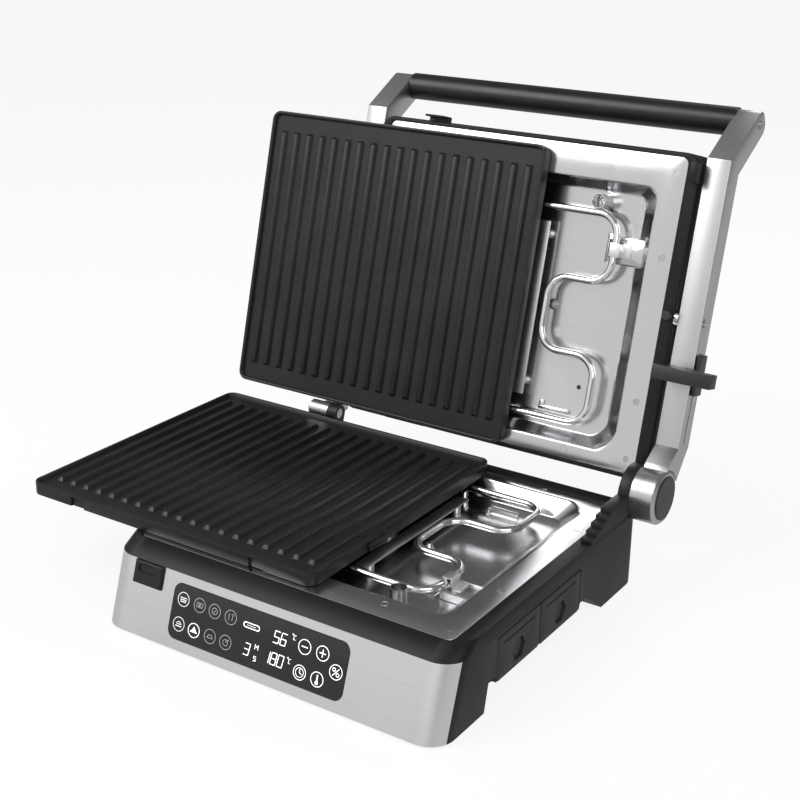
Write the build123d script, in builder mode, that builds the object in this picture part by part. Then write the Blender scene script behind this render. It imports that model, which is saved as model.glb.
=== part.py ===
from build123d import *
from math import cos, radians, sin
import os

os.makedirs("parts", exist_ok=True)

# Electric contact grill, lid open and both grill plates slid off to the left.
# X is to the right, Y to the back, Z up. The shapes are drawn about the centre of
# the seated plates and saved about the middle of the whole grill, on the table.
# All lengths are millimetres.

# Fits
seat_gap = 0.3  # between pieces that move on each other
running_gap = 0.05  # radial, pin in its bearing
cut_gap = 0.1  # between fixed pieces that fit in each other

# Middle of the whole grill, where the origin of the saved pieces lies
middle_x = -35.0
middle_y = 60.0

# Housing
half_width = 164.0
front_bottom_y = -176.8
front_top_y = -157.7
rear_y = 150.0
foot_height = 2.0
panel_height = 58.3
corner_radius = 21.0
wall = 2.5
panel_sheet = 1.2
panel_wrap = 12.0
frame_height = 10.3
frame_bevel = 16.5
frame_side_bevel = 1.2

# Reflector pans
pan_margin = 14.0
pan_width = 2 * (half_width - pan_margin)
pan_corner = 6.0
pan_front_y = -140.0
pan_rear_y = 134.6
pan_sheet = 0.8
flange_width = 22.0
recess_width = pan_width - 2 * flange_width
recess_front_y = -112.0
recess_rear_y = 121.0
recess_depth = 17.0
recess_draft = 8.0
recess_side_draft = 16.0
recess_chamfer = 20.0
recess_front_radius = 13.0
frame_overlap = 3.0
bracket_width = 24.0
bracket_length = 34.0
bracket_height = 8.0
bracket_y = -54.0

# Heating elements
tube_radius = 3.2
tube_drop = 4.4
tube_bend = 19.0
tube_end_bend = 6.0
tube_end_length = 21.0
lobe_gap = 33.0
lobe_outer_x = recess_width / 2 - lobe_gap
lobe_inner_x = 38.0
tube_end_x = 14.0
lobe_front_y = -84.0
lobe_middle_front_y = -24.0
lobe_middle_rear_y = 42.0
lobe_rear_y = 103.0
strap_x = 22.0
strap_width = 12.0
strap_front_y = -70.0
strap_rear_y = 88.0
strap_sheet = 1.2
post_radius = 4.0

# Grill plates
plate_depth = 270.0
plate_height = 12.0
plate_corner = 9.0
skirt = 4.0
plate_floor = 3.2
rim_width = 4.0
rim_height = 3.6
rib_count = 19
rib_base = 7.6
rib_height = 3.5
rib_flank = 64.0
rib_length = 233.0
rib_root = 0.2
rib_end_taper = 35.0
plate_shift = 130.0
closed_gap = 0.6
notch_x = 97.0
notch_width = 14.0
notch_depth = 2.0
lug_x = -45.0
lug_width = 44.0
lug_depth = 3.0
lug_height = 3.6
lug_rise = 0.4
spout_y = -48.0
spout_width = 26.0
spout_reach = 3.0
spout_height = 6.0
spout_rise = 1.0
spout_side = 4.0

# Hinge, arms and handle
hinge_y = 144.7
hinge_z = 84.4
open_angle = 104.4
hub_radius = 24.0
slim_radius = 8.2
hub_thickness = 11.0
plate_play = 1.0
plate_width = 2 * (half_width - hub_thickness - plate_play)
rib_pitch = plate_width / (rib_count + 1)
pin_radius = 5.0
arm_gap = 1.2
arm_thickness = 21.2
arm_front_n = -11.7
left_front_n = -22.0
left_boss_radius = 5.5
arm_depth = 23.0
arm_bend_v = 287.0
arm_tip_v = 337.0
arm_tip_n = -66.0
arm_foot_v = 42.0
arm_end_radius = 9.0
handle_radius = 12.5
handle_v = 322.5
handle_n = -66.5
cap_radius = 19.5
slim_cap_radius = 6.2
cap_thickness = 2.0
barrel_chamfer = 2.5
pivot_v = 150.0
pivot_radius = 4.0
pivot_reach = 8.0
collar_radius = 7.0

# Lid
lid_side_gap = 3.0
lid_half_width = half_width - lid_side_gap
lid_rear_v = 6.0
lid_front_v = 289.0
lid_frame_depth = 12.4
lid_depth = 48.0
lid_corner = 14.0
stop_length = 17.0
stop_height = 24.0
stop_drop = 16.0
stop_thickness = 7.0
lid_wall = 2.2
lid_edge_fillet = 9.0
top_plate_sheet = 1.0
top_plate_margin = 22.0

# Height steps and selector
step_count = 5
step_front_y = 55.0
step_run = 8.5
step_rise = 3.7
selector_v = 105.6
selector_bar_v = 12.0
selector_front_n = 13.0
selector_rear_n = -1.0
selector_inner_x = half_width - 5.0
selector_outer_x = half_width + arm_gap + arm_thickness + 25.6
selector_tab_v = 35.0
selector_tab_depth = 17.0
selector_tab_thickness = 3.2
selector_travel = 48.0
slot_width = 4.0
slot_depth = 3.0
guide_length = 18.0

# Drip trays
tray_split_y = -31.0
tray_front_y = -97.0
tray_rear_y = 36.5
tray_length = 196.0
tray_height = 25.0
tray_wall = 1.8
door_bottom_z = 19.0
door_top_z = 56.0
door_thickness = 4.0
door_corner = 2.5
arch_front_y = -115.0
arch_rear_y = 84.0
arch_ceiling_z = 18.5
arch_notch_z = 25.0
arch_lean = 6.0
arch_rear_run = 34.0
arch_step = 2.0
mouth_depth = 12.0
tray_door_lip = 5.0
pull_radius = 10.0
pull_rise = 14.0
pull_depth = 2.0
groove_drop = 7.0
groove_width = 1.4
groove_depth = 0.8
groove_margin = 9.0

# Controls
glass_x = -8.5
glass_s = 31.3
glass_width = 171.0
glass_height = 45.5
glass_corner = 8.0
glass_thickness = 2.4
glass_proud = 0.4
button_inset = 42.0
button_x = button_inset - half_width
button_width = 29.0
button_height = 19.0
button_proud = 3.0
button_depth = 9.0
button_travel = 3.0
button_edge = 1.6
scoop_depth = 1.2
scoop_length = 20.0
scoop_width = 7.0
scoop_drop = 5.7
lid_button_inset = 63.0
lid_button_x = lid_button_inset - half_width
lid_button_width = 20.0
lid_button_reach = 4.5
lid_button_depth = 8.0
lid_button_low_n = 9.7
lid_button_body = 6.4
lid_button_head = 16.0

# Small parts
foot_radius = 8.0
foot_inset = 24.0
foot_x = half_width - foot_inset
foot_front_y = -150.0
foot_rear_y = 118.0
screw_radius = 2.8
base_screw_radius = 3.4
handle_screw_radius = 4.0
handle_screw_head = 1.2
screw_head = 0.8
flange_screw_head = 0.15
flange_screw_inset = 9.0
flange_screw_ys = (-126.0, bracket_y, 71.0, 122.0)
base_screw_inset = 18.0
board_sheet = 1.6
board_gap = 0.5
chip_width = 14.0
chip_length = 12.0
chip_height = 3.0
chip_pitch = 36.0
power_inset = 59.0
power_y = -30.0
power_width = 84.0
power_length = 96.0
power_leg = 6.0
power_leg_radius = 3.0
power_leg_inset = 5.0
block_width = 22.0
block_length = 20.0
block_height = 15.0
block_pitch_x = 34.0
block_pitch_y = 36.0
clip_width = 12.0
clip_blade = 1.6
clip_play = 1.4
clip_foot = 11.0
clip_foot_sheet = 1.2
clip_hook_sheet = 0.8
thermostat_radius = 9.0
thermostat_seat = 4.0
thermostat_cap_radius = 7.0
thermostat_cap = 6.0
thermostat_ear_length = 34.0
thermostat_ear_width = 8.0
thermostat_ear_sheet = 1.0
vent_pitch = 9.0
vent_count = 11
vent_length = 18.0
vent_width = 3.0
gland_x = -100.0
gland_z = 40.0
gland_radius = 8.0
cord_radius = 3.6

# Derived places
housing_top_z = foot_height + panel_height
flange_z = housing_top_z + frame_height
open_rad = radians(open_angle)
lid_face_n = -(flange_z + 2 * (seat_gap + plate_height) + closed_gap - hinge_z)
lid_out = (0, -sin(open_rad), -cos(open_rad))
lid_up = (0, -cos(open_rad), sin(open_rad))
hub_inner_x = half_width - hub_thickness
arm_inner_x = half_width + arm_gap
arm_outer_x = arm_inner_x + arm_thickness

lid_plane = Plane(origin=(0, hinge_y, hinge_z), x_dir=(1, 0, 0), z_dir=lid_out)
side_plane = Plane(origin=(0, hinge_y, hinge_z), x_dir=lid_up, z_dir=(1, 0, 0))
panel_up = (Vector(0, front_top_y, housing_top_z) - Vector(0, front_bottom_y, foot_height)).normalized()
panel_plane = Plane(
    origin=(0, front_bottom_y, foot_height),
    x_dir=(1, 0, 0),
    z_dir=(0, -panel_up.Z, panel_up.Y),
)
panel_top_s = panel_plane.to_local_coords(Vector(0, front_top_y, housing_top_z)).Y
button_s = panel_top_s - button_height / 2 - seat_gap
panel_out_axis = Axis((0, 0, 0), (0, -panel_up.Z, panel_up.Y))
lid_out_axis = Axis((0, 0, 0), lid_out)
lid_up_axis = Axis((0, 0, 0), lid_up)
base_heat_plane = Plane(origin=(0, 0, flange_z), x_dir=(1, 0, 0), z_dir=(0, 0, 1))
lid_heat_plane = Plane(
    origin=lid_plane.from_local_coords(Vector(0, hinge_y, lid_face_n)),
    x_dir=(-1, 0, 0),
    z_dir=lid_out,
)


def save(part, name):
    """Saves a piece about the middle of the whole grill."""
    placed = part.moved(Location((-middle_x, -middle_y, 0)))
    placed.label = name
    export_step(placed, f"parts/{name}.step")


def outline(z, front_y, inset, radius):
    """Rounded rectangle of the housing at height z, drawn in a by the inset."""
    depth = rear_y - front_y - 2 * inset
    with BuildSketch(Plane.XY.offset(z)) as sketch:
        with Locations((0, (rear_y + front_y) / 2)):
            RectangleRounded(2 * (half_width - inset), depth, radius - inset)
    return sketch.sketch


def housing_loft(inset, low_z, high_z):
    """The housing's slanted outer form, or one drawn in by the inset."""
    slope = (front_top_y - front_bottom_y) / panel_height
    low_front = front_bottom_y + slope * (low_z - foot_height)
    high_front = front_bottom_y + slope * (high_z - foot_height)
    with BuildPart() as body:
        loft(
            [
                outline(low_z, low_front, inset, corner_radius),
                outline(high_z, high_front, inset, corner_radius),
            ],
            ruled=True,
        )
    return body.part


def front_slab(depth):
    """The slice of space in front of a plane that lies depth behind the slanted front."""
    with BuildPart() as slab:
        with BuildSketch(panel_plane.offset(-depth)):
            with Locations((0, panel_height / 2)):
                Rectangle(3 * half_width, 3 * panel_height)
        extrude(amount=depth + corner_radius)
    return slab.part


def arch(margin):
    """The open space under the middle of the housing, between its front and rear feet."""
    with BuildPart() as space:
        with BuildSketch(Plane.YZ.offset(-half_width - 1)) as profile:
            with BuildLine():
                Polyline(
                    (arch_front_y - margin, -1),
                    (arch_front_y + arch_lean - margin, arch_notch_z + margin),
                    (tray_front_y - arch_step, arch_notch_z + margin),
                    (tray_front_y, arch_ceiling_z + margin),
                    (tray_rear_y, arch_ceiling_z + margin),
                    (tray_rear_y + arch_step, arch_notch_z + margin),
                    (arch_rear_y - arch_rear_run + margin, arch_notch_z + margin),
                    (arch_rear_y + margin, -1),
                    close=True,
                )
            make_face()
        extrude(amount=2 * half_width + 2)
    return space.part


def door_opening(margin):
    """The side opening that both drip-tray doors fill."""
    with BuildPart() as opening:
        with BuildSketch(Plane.YZ.offset(half_width - door_thickness - seat_gap)):
            with Locations(
                ((tray_front_y + tray_rear_y) / 2, (door_bottom_z + door_top_z) / 2)
            ):
                Rectangle(
                    tray_rear_y - tray_front_y + 2 * margin,
                    door_top_z - door_bottom_z + 2 * margin + 2,
                )
        extrude(amount=2 * door_thickness)
    return opening.part


full_form = housing_loft(0, foot_height, housing_top_z)

# Lower housing with its arched floor, tray opening and front pocket
with BuildPart() as base_housing:
    add(full_form)
    with BuildPart(mode=Mode.PRIVATE) as panel_space:
        add(full_form)
        add(housing_loft(panel_sheet + cut_gap, foot_height - 1, housing_top_z + 1), mode=Mode.SUBTRACT)
        add(front_slab(panel_wrap + 2 * cut_gap), mode=Mode.INTERSECT)
    add(panel_space.part, mode=Mode.SUBTRACT)
    with BuildPart(mode=Mode.PRIVATE) as cavity:
        add(housing_loft(panel_sheet + wall, foot_height + wall, housing_top_z + 1))
        add(arch(wall), mode=Mode.SUBTRACT)
    add(cavity.part, mode=Mode.SUBTRACT)
    add(arch(0), mode=Mode.SUBTRACT)
    add(door_opening(seat_gap), mode=Mode.SUBTRACT)
    # tray mouth through the wall
    with BuildSketch(Plane.YZ.offset(half_width - mouth_depth)):
        with Locations(
            ((tray_front_y + tray_rear_y) / 2, arch_ceiling_z + wall + tray_height / 2 + seat_gap)
        ):
            Rectangle(tray_rear_y - tray_front_y - 4, tray_height + 1)
    extrude(amount=mouth_depth + 2, mode=Mode.SUBTRACT)
    # pocket for the control glass and bore for the release button
    with BuildSketch(panel_plane.offset(glass_proud - glass_thickness - cut_gap)):
        with Locations((glass_x, glass_s)):
            RectangleRounded(glass_width + 4 * cut_gap, glass_height + 4 * cut_gap, glass_corner)
    extrude(amount=4, mode=Mode.SUBTRACT)
    with BuildSketch(panel_plane.offset(-wall - button_depth)):
        with Locations((button_x, button_s)):
            Rectangle(button_width + 2 * seat_gap, button_height + 2 * seat_gap)
    extrude(amount=wall + 2 * button_depth, mode=Mode.SUBTRACT)
    # cord entry and cooling slots in the rear wall
    with Locations(Plane(origin=(gland_x, rear_y, gland_z), z_dir=(0, 1, 0))):
        Hole(gland_radius, depth=2 * (wall + panel_sheet))
    with BuildSketch(Plane.XZ.offset(-rear_y - 1)):
        with Locations((0, gland_z)):
            with GridLocations(vent_pitch, 0, vent_count, 1):
                SlotOverall(vent_length, vent_width, rotation=90)
    extrude(amount=2 * (wall + panel_sheet), mode=Mode.SUBTRACT)
save(base_housing.part, "base_housing")

# Brushed steel sheet over the slanted front and its corners
with BuildPart() as front_panel:
    add(full_form)
    add(housing_loft(panel_sheet, foot_height - 1, housing_top_z + 1), mode=Mode.SUBTRACT)
    add(front_slab(panel_wrap), mode=Mode.INTERSECT)
    with BuildSketch(panel_plane.offset(-5)):
        with Locations((glass_x, glass_s)):
            RectangleRounded(glass_width + 4 * cut_gap, glass_height + 4 * cut_gap, glass_corner)
        with Locations((button_x, button_s)):
            Rectangle(button_width + 2 * seat_gap, button_height + 2 * seat_gap)
    extrude(amount=10, mode=Mode.SUBTRACT)
save(front_panel.part, "front_panel")

# Touch control glass
with BuildPart() as control_glass:
    with BuildSketch(panel_plane.offset(glass_proud - glass_thickness)):
        with Locations((glass_x, glass_s)):
            RectangleRounded(glass_width, glass_height, glass_corner)
    extrude(amount=glass_thickness)
    chamfer(control_glass.faces().sort_by(panel_out_axis)[-1].edges(), 0.35)
save(control_glass.part, "control_glass")

# Circuit board behind the glass, on the housing's inner wall
board_back = panel_sheet + wall + board_gap + board_sheet
with BuildPart() as control_board:
    with BuildSketch(panel_plane.offset(-board_back)):
        with Locations((glass_x, glass_s)):
            Rectangle(glass_width - chip_length, glass_height - chip_width)
    extrude(amount=board_sheet)
    with BuildSketch(panel_plane.offset(-board_back - chip_height)):
        with Locations((glass_x, glass_s)):
            with GridLocations(chip_pitch, 0, 4, 1):
                Rectangle(chip_width, chip_length)
    extrude(amount=chip_height)
save(control_board.part, "control_board")

# Power board on four posts, left of the trays
board_floor_z = arch_ceiling_z + wall
power_x = power_inset - half_width
with BuildPart() as power_board:
    with BuildSketch(Plane.XY.offset(board_floor_z + power_leg)):
        with Locations((power_x, power_y)):
            Rectangle(power_width, power_length)
    extrude(amount=board_sheet)
    with BuildSketch(Plane.XY.offset(board_floor_z + power_leg + board_sheet)):
        with Locations((power_x, power_y)):
            with GridLocations(block_pitch_x, block_pitch_y, 2, 2):
                Rectangle(block_width, block_length)
    extrude(amount=block_height)
    with BuildSketch(Plane.XY.offset(board_floor_z)):
        with Locations((power_x, power_y)):
            with GridLocations(
                power_width - 2 * power_leg_inset, power_length - 2 * power_leg_inset, 2, 2
            ):
                Circle(power_leg_radius)
    extrude(amount=power_leg)
save(power_board.part, "power_board")

# Black upper frame: bevelled at the front, with a rebate for the pan's flange
frame_inner_depth = recess_rear_y - recess_front_y
frame_inner_y = (recess_rear_y + recess_front_y) / 2
with BuildPart() as base_top_frame:
    with BuildSketch(Plane.XY.offset(housing_top_z)):
        with Locations((0, (rear_y + front_top_y) / 2)):
            RectangleRounded(2 * half_width, rear_y - front_top_y, corner_radius)
    with BuildSketch(Plane.XY.offset(flange_z)):
        with Locations((0, (rear_y - frame_side_bevel + front_top_y + frame_bevel) / 2)):
            RectangleRounded(
                2 * (half_width - frame_side_bevel),
                rear_y - frame_side_bevel - front_top_y - frame_bevel,
                corner_radius - frame_side_bevel,
            )
    loft(ruled=True)
    with BuildSketch(Plane.XY.offset(housing_top_z - 1)):
        with Locations((0, frame_inner_y)):
            Rectangle(recess_width + 2 * frame_overlap, frame_inner_depth + 2 * frame_overlap)
    extrude(amount=frame_height + 2, mode=Mode.SUBTRACT)
    with BuildSketch(Plane.XY.offset(flange_z - pan_sheet - cut_gap)):
        with Locations((0, (pan_front_y + pan_rear_y) / 2)):
            Rectangle(pan_width + 4 * cut_gap, pan_rear_y - pan_front_y + 4 * cut_gap)
    extrude(amount=2, mode=Mode.SUBTRACT)
    # slot for the release button
    with BuildSketch(panel_plane.offset(-button_depth - button_travel - 1)):
        with Locations((button_x, button_s)):
            Rectangle(button_width + 2 * seat_gap, button_height + 2 * seat_gap)
    extrude(amount=button_depth + button_travel + 6, mode=Mode.SUBTRACT)
save(base_top_frame.part, "base_top_frame")


def recess_section(plane, drop, inset):
    """Outline of the pan's recess: front corners round, rear corners cut off."""
    half = recess_width / 2 - inset * recess_side_draft / recess_draft
    front = recess_front_y + inset
    rear = recess_rear_y - inset
    with BuildSketch(plane.offset(-drop)) as sketch:
        with BuildLine():
            Polyline(
                (-half, front),
                (half, front),
                (half, rear - recess_chamfer),
                (half - recess_chamfer, rear),
                (-half + recess_chamfer, rear),
                (-half, rear - recess_chamfer),
                close=True,
            )
        make_face()
        fillet(sketch.vertices().group_by(Axis.Y)[0], recess_front_radius - inset)
    return sketch.sketch


def make_pan(plane, name):
    """Pressed reflector pan: flat flange, drafted recess and two raised brackets."""
    with BuildPart() as pan:
        with BuildSketch(plane.offset(-pan_sheet)):
            with Locations((0, (pan_front_y + pan_rear_y) / 2)):
                RectangleRounded(pan_width, pan_rear_y - pan_front_y, pan_corner)
        extrude(amount=pan_sheet)
        loft(
            [
                recess_section(plane, 0, -pan_sheet),
                recess_section(plane, recess_depth + pan_sheet, recess_draft - pan_sheet),
            ],
            ruled=True,
        )
        loft(
            [
                recess_section(plane, 0, 0),
                recess_section(plane, recess_depth, recess_draft),
            ],
            ruled=True,
            mode=Mode.SUBTRACT,
        )
        # raised brackets from the side walls to under the element
        with BuildSketch(plane.offset(-recess_depth - pan_sheet / 2)):
            for side in (-1, 1):
                with Locations((side * (recess_width / 2 - bracket_length / 2 - 1), bracket_y)):
                    Rectangle(bracket_length, bracket_width)
        extrude(amount=bracket_height + pan_sheet / 2, taper=4)
        # holes for the element's two ends
        with BuildSketch(plane.offset(-recess_depth - 2 * pan_sheet)):
            with Locations((tube_end_x, lobe_rear_y), (-tube_end_x, lobe_rear_y)):
                Circle(tube_radius + 2 * seat_gap)
        extrude(amount=3 * pan_sheet, mode=Mode.SUBTRACT)
    save(pan.part, name)


def make_element(plane, name):
    """Serpentine tubular heater, one unbroken tube with both ends through the pan."""
    z = -tube_drop
    right = [
        (tube_end_x, lobe_rear_y),
        (lobe_outer_x, lobe_rear_y),
        (lobe_outer_x, lobe_middle_rear_y),
        (lobe_inner_x, lobe_middle_rear_y),
        (lobe_inner_x, lobe_middle_front_y),
        (lobe_outer_x, lobe_middle_front_y),
        (lobe_outer_x, lobe_front_y),
    ]
    left = [(-x, y) for x, y in reversed(right)]
    points = [plane.from_local_coords(Vector(x, y, z)) for x, y in right + left]
    first = plane.from_local_coords(Vector(tube_end_x, lobe_rear_y, z - tube_end_length))
    last = plane.from_local_coords(Vector(-tube_end_x, lobe_rear_y, z - tube_end_length))
    route = [first] + points + [last]
    radii = [tube_end_bend] + [tube_bend] * (len(points) - 2) + [tube_end_bend]
    with BuildPart() as element:
        with BuildLine() as path:
            FilletPolyline(*route, radius=radii)
        with BuildSketch(Plane(origin=first, z_dir=plane.z_dir)):
            Circle(tube_radius)
        sweep(path=path.line)
    save(element.part, name)


def make_straps(plane, name):
    """Two flat straps on posts that carry the element from below."""
    top = -tube_drop - tube_radius - cut_gap
    with BuildPart() as straps:
        with BuildSketch(plane.offset(top - strap_sheet)):
            for side in (-1, 1):
                with Locations((side * strap_x, (strap_front_y + strap_rear_y) / 2)):
                    Rectangle(strap_width, strap_rear_y - strap_front_y)
        extrude(amount=strap_sheet)
        with BuildSketch(plane.offset(-recess_depth)):
            for side in (-1, 1):
                with Locations(
                    (side * strap_x, strap_front_y + strap_width),
                    (side * strap_x, strap_rear_y - strap_width),
                ):
                    Circle(post_radius)
        extrude(amount=recess_depth + top - strap_sheet)
    save(straps.part, name)


def make_clips(plane, name):
    """Spring clips on the raised brackets that hold the element's outer bends down."""
    floor = -recess_depth + bracket_height
    tube_top = -tube_drop + tube_radius
    blade_x = lobe_outer_x + tube_radius + clip_play
    hook_reach = 2 * tube_radius + clip_play + clip_blade
    with BuildPart() as clips:
        for side in (-1, 1):
            with BuildSketch(plane.offset(floor)):
                with Locations((side * (blade_x + clip_blade / 2), bracket_y)):
                    Rectangle(clip_blade, clip_width)
            extrude(amount=tube_top + cut_gap + clip_hook_sheet / 2 - floor)
            with BuildSketch(plane.offset(tube_top + cut_gap)):
                with Locations((side * (blade_x + clip_blade - hook_reach / 2), bracket_y)):
                    Rectangle(hook_reach, clip_width)
            extrude(amount=clip_hook_sheet)
            with BuildSketch(plane.offset(floor)):
                with Locations((side * (blade_x - clip_blade + clip_foot / 2), bracket_y)):
                    Rectangle(clip_foot, clip_width)
            extrude(amount=clip_foot_sheet)
    save(clips.part, name)


def make_thermostat(plane, name):
    """Round thermostat on the pan's floor."""
    with BuildPart() as body:
        with BuildSketch(plane.offset(-recess_depth)):
            Circle(thermostat_radius)
        extrude(amount=thermostat_seat)
        with BuildSketch(plane.offset(-recess_depth + thermostat_seat)):
            Circle(thermostat_cap_radius)
        extrude(amount=thermostat_cap)
        with BuildSketch(plane.offset(-recess_depth)):
            SlotOverall(thermostat_ear_length, thermostat_ear_width)
        extrude(amount=thermostat_ear_sheet)
    save(body.part, name)


def make_flange_screws(plane, name):
    """Low screws that hold the pan's flange to its frame."""
    with BuildPart() as screws:
        with BuildSketch(plane):
            for side in (-1, 1):
                for y in flange_screw_ys:
                    with Locations((side * (pan_width / 2 - flange_screw_inset), y)):
                        Circle(screw_radius)
        extrude(amount=flange_screw_head)
    save(screws.part, name)


def make_plate(plane, shift, has_spout, name):
    """Cast grill plate: skirt, floor, rim, ribs, notches and catch lug, the lower one with a spout."""
    low = seat_gap
    floor_top = low + plate_height - rim_height
    with BuildPart() as plate:
        with BuildSketch(plane.offset(low)):
            with Locations((shift, 0)):
                RectangleRounded(plate_width, plate_depth, plate_corner)
        extrude(amount=plate_height)
        with BuildSketch(plane.offset(floor_top)):
            with Locations((shift, 0)):
                RectangleRounded(
                    plate_width - 2 * rim_width, plate_depth - 2 * rim_width, plate_corner - rim_width
                )
        extrude(amount=rim_height, taper=-20, mode=Mode.SUBTRACT)
        with BuildSketch(plane.offset(low)):
            with Locations((shift, 0)):
                RectangleRounded(
                    plate_width - 2 * skirt, plate_depth - 2 * skirt, plate_corner - skirt
                )
        extrude(amount=plate_height - rim_height - plate_floor, mode=Mode.SUBTRACT)
        with BuildPart(mode=Mode.PRIVATE) as ribs:
            rib_plane = Plane(
                origin=plane.from_local_coords(Vector(shift, -rib_length / 2, floor_top - rib_root)),
                x_dir=plane.x_dir,
                z_dir=-plane.y_dir,
            )
            with BuildSketch(rib_plane):
                with GridLocations(rib_pitch, 0, rib_count, 1):
                    Trapezoid(rib_base, rib_height, rib_flank, align=(Align.CENTER, Align.MIN))
            extrude(amount=-rib_length)
            with BuildSketch(plane.offset(floor_top - rib_root)):
                with Locations((shift, 0)):
                    Rectangle(plate_width, rib_length)
            extrude(amount=rim_height + rib_root, taper=rib_end_taper, mode=Mode.INTERSECT)
        add(ribs.part)
        # notches under the rim at both long edges
        with BuildSketch(plane.offset(low)):
            for side in (-1, 1):
                for edge in (-1, 1):
                    with Locations((shift + side * notch_x, edge * plate_depth / 2)):
                        Rectangle(notch_width, 2 * notch_depth)
        extrude(amount=plate_height - rim_height, mode=Mode.SUBTRACT)
        # catch lug on the rear edge
        with BuildSketch(plane.offset(low + lug_rise)):
            with Locations((shift + lug_x, plate_depth / 2)):
                Rectangle(lug_width, 2 * lug_depth)
        extrude(amount=lug_height)
        if has_spout:
            with BuildSketch(plane.offset(low + spout_rise)):
                with Locations((shift + plate_width / 2, spout_y)):
                    Rectangle(2 * spout_reach, spout_width)
            extrude(amount=spout_height)
            with BuildSketch(plane.offset(floor_top)):
                with Locations((shift + plate_width / 2, spout_y)):
                    Rectangle(2 * (rim_width + 1), spout_width - 2 * spout_side)
            extrude(amount=rim_height, mode=Mode.SUBTRACT)
    save(plate.part, name)


for place, heat_plane in (("base", base_heat_plane), ("lid", lid_heat_plane)):
    make_pan(heat_plane, f"{place}_reflector_pan")
    make_element(heat_plane, f"{place}_heating_element")
    make_straps(heat_plane, f"{place}_element_straps")
    make_clips(heat_plane, f"{place}_element_clips")
    make_thermostat(heat_plane, f"{place}_thermostat")
    make_flange_screws(heat_plane, f"{place}_pan_screws")
make_plate(base_heat_plane, -plate_shift, True, "lower_grill_plate")
make_plate(lid_heat_plane, plate_shift, False, "upper_grill_plate")


def stepped_profile():
    """Side view of the right hinge bracket: round hub, shoulder and height steps."""
    top_z = flange_z + step_count * step_rise
    points = [(step_front_y, flange_z)]
    for n in range(step_count):
        points.append((step_front_y + n * step_run, flange_z + (n + 1) * step_rise))
        points.append((step_front_y + (n + 1) * step_run, flange_z + (n + 1) * step_rise))
    with BuildSketch(Plane.YZ.offset(hub_inner_x)) as profile:
        with Locations((hinge_y, hinge_z)):
            Circle(hub_radius)
        with BuildLine():
            Polyline(
                *points,
                (hinge_y - hub_radius + 4, top_z),
                (hinge_y, hinge_z),
                (rear_y - frame_side_bevel, flange_z),
                close=True,
            )
        make_face()
        # below the flange the hub goes on only behind the rear wall
        with Locations((rear_y, flange_z)):
            Rectangle(rear_y, 2 * hub_radius, align=(Align.MAX, Align.MAX), mode=Mode.SUBTRACT)
    return profile.sketch


def slim_profile():
    """Side view of the left hinge bracket: a post behind the plates' path and a small hub."""
    with BuildSketch(Plane.YZ.offset(-half_width + seat_gap)) as profile:
        with Locations((hinge_y, hinge_z)):
            Circle(slim_radius)
        with BuildLine():
            Polyline(
                (hinge_y - slim_radius + 0.2, hinge_z - 1.5),
                (hinge_y - slim_radius / 2 - 1, flange_z + lug_height + 1.5),
                (hinge_y - slim_radius / 2 - 1, flange_z),
                (rear_y - frame_side_bevel, flange_z),
                (hinge_y + slim_radius - 0.2, hinge_z - 1.5),
                close=True,
            )
        make_face()
    return profile.sketch


def make_bracket(profile, name):
    """Hinge bracket on the upper frame, bored for the hinge pin."""
    with BuildPart() as bracket:
        extrude(profile, amount=hub_thickness - seat_gap, dir=(1, 0, 0))
        with BuildSketch(Plane.YZ.offset(-half_width)):
            with Locations((hinge_y, hinge_z)):
                Circle(pin_radius)
        extrude(amount=2 * half_width, mode=Mode.SUBTRACT)
    save(bracket.part, name)


make_bracket(stepped_profile(), "right_hinge_bracket")
make_bracket(slim_profile(), "left_hinge_bracket")

# Hinge pins, fixed in the brackets
with BuildPart() as hinge_pins:
    for side in (-1, 1):
        with BuildSketch(Plane.YZ.offset(side * (hub_inner_x + 0.5))):
            with Locations((hinge_y, hinge_z)):
                Circle(pin_radius)
        extrude(amount=side * (arm_outer_x - cap_thickness - 3 - hub_inner_x))
save(hinge_pins.part, "hinge_pins")

# Rubber feet
with BuildPart() as rubber_feet:
    with BuildSketch(Plane.XY):
        for side in (-1, 1):
            with Locations((side * foot_x, foot_front_y), (side * foot_x, foot_rear_y)):
                Circle(foot_radius)
    extrude(amount=foot_height)
save(rubber_feet.part, "rubber_feet")

# Housing screws, up through the feet's floor beside the pads
with BuildPart() as base_screws:
    with BuildSketch(Plane.XY.offset(foot_height - screw_head)):
        for side in (-1, 1):
            screw_x = side * (foot_x - base_screw_inset)
            with Locations((screw_x, foot_front_y), (screw_x, foot_rear_y)):
                Circle(base_screw_radius)
    extrude(amount=screw_head)
save(base_screws.part, "base_screws")

# Bushing where the supply cord enters, flush with the rear wall
with BuildPart() as cord_gland:
    with Locations(Plane(origin=(gland_x, rear_y, gland_z), z_dir=(0, -1, 0))):
        Cylinder(gland_radius, wall + panel_sheet, align=(Align.CENTER, Align.CENTER, Align.MIN))
    with Locations(Plane(origin=(gland_x, rear_y - wall - panel_sheet, gland_z), z_dir=(0, -1, 0))):
        Cylinder(gland_radius + 2.5, 2, align=(Align.CENTER, Align.CENTER, Align.MIN))
    with Locations(Plane(origin=(gland_x, rear_y, gland_z), z_dir=(0, 1, 0))):
        Hole(cord_radius, depth=12)
save(cord_gland.part, "cord_gland")

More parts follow.
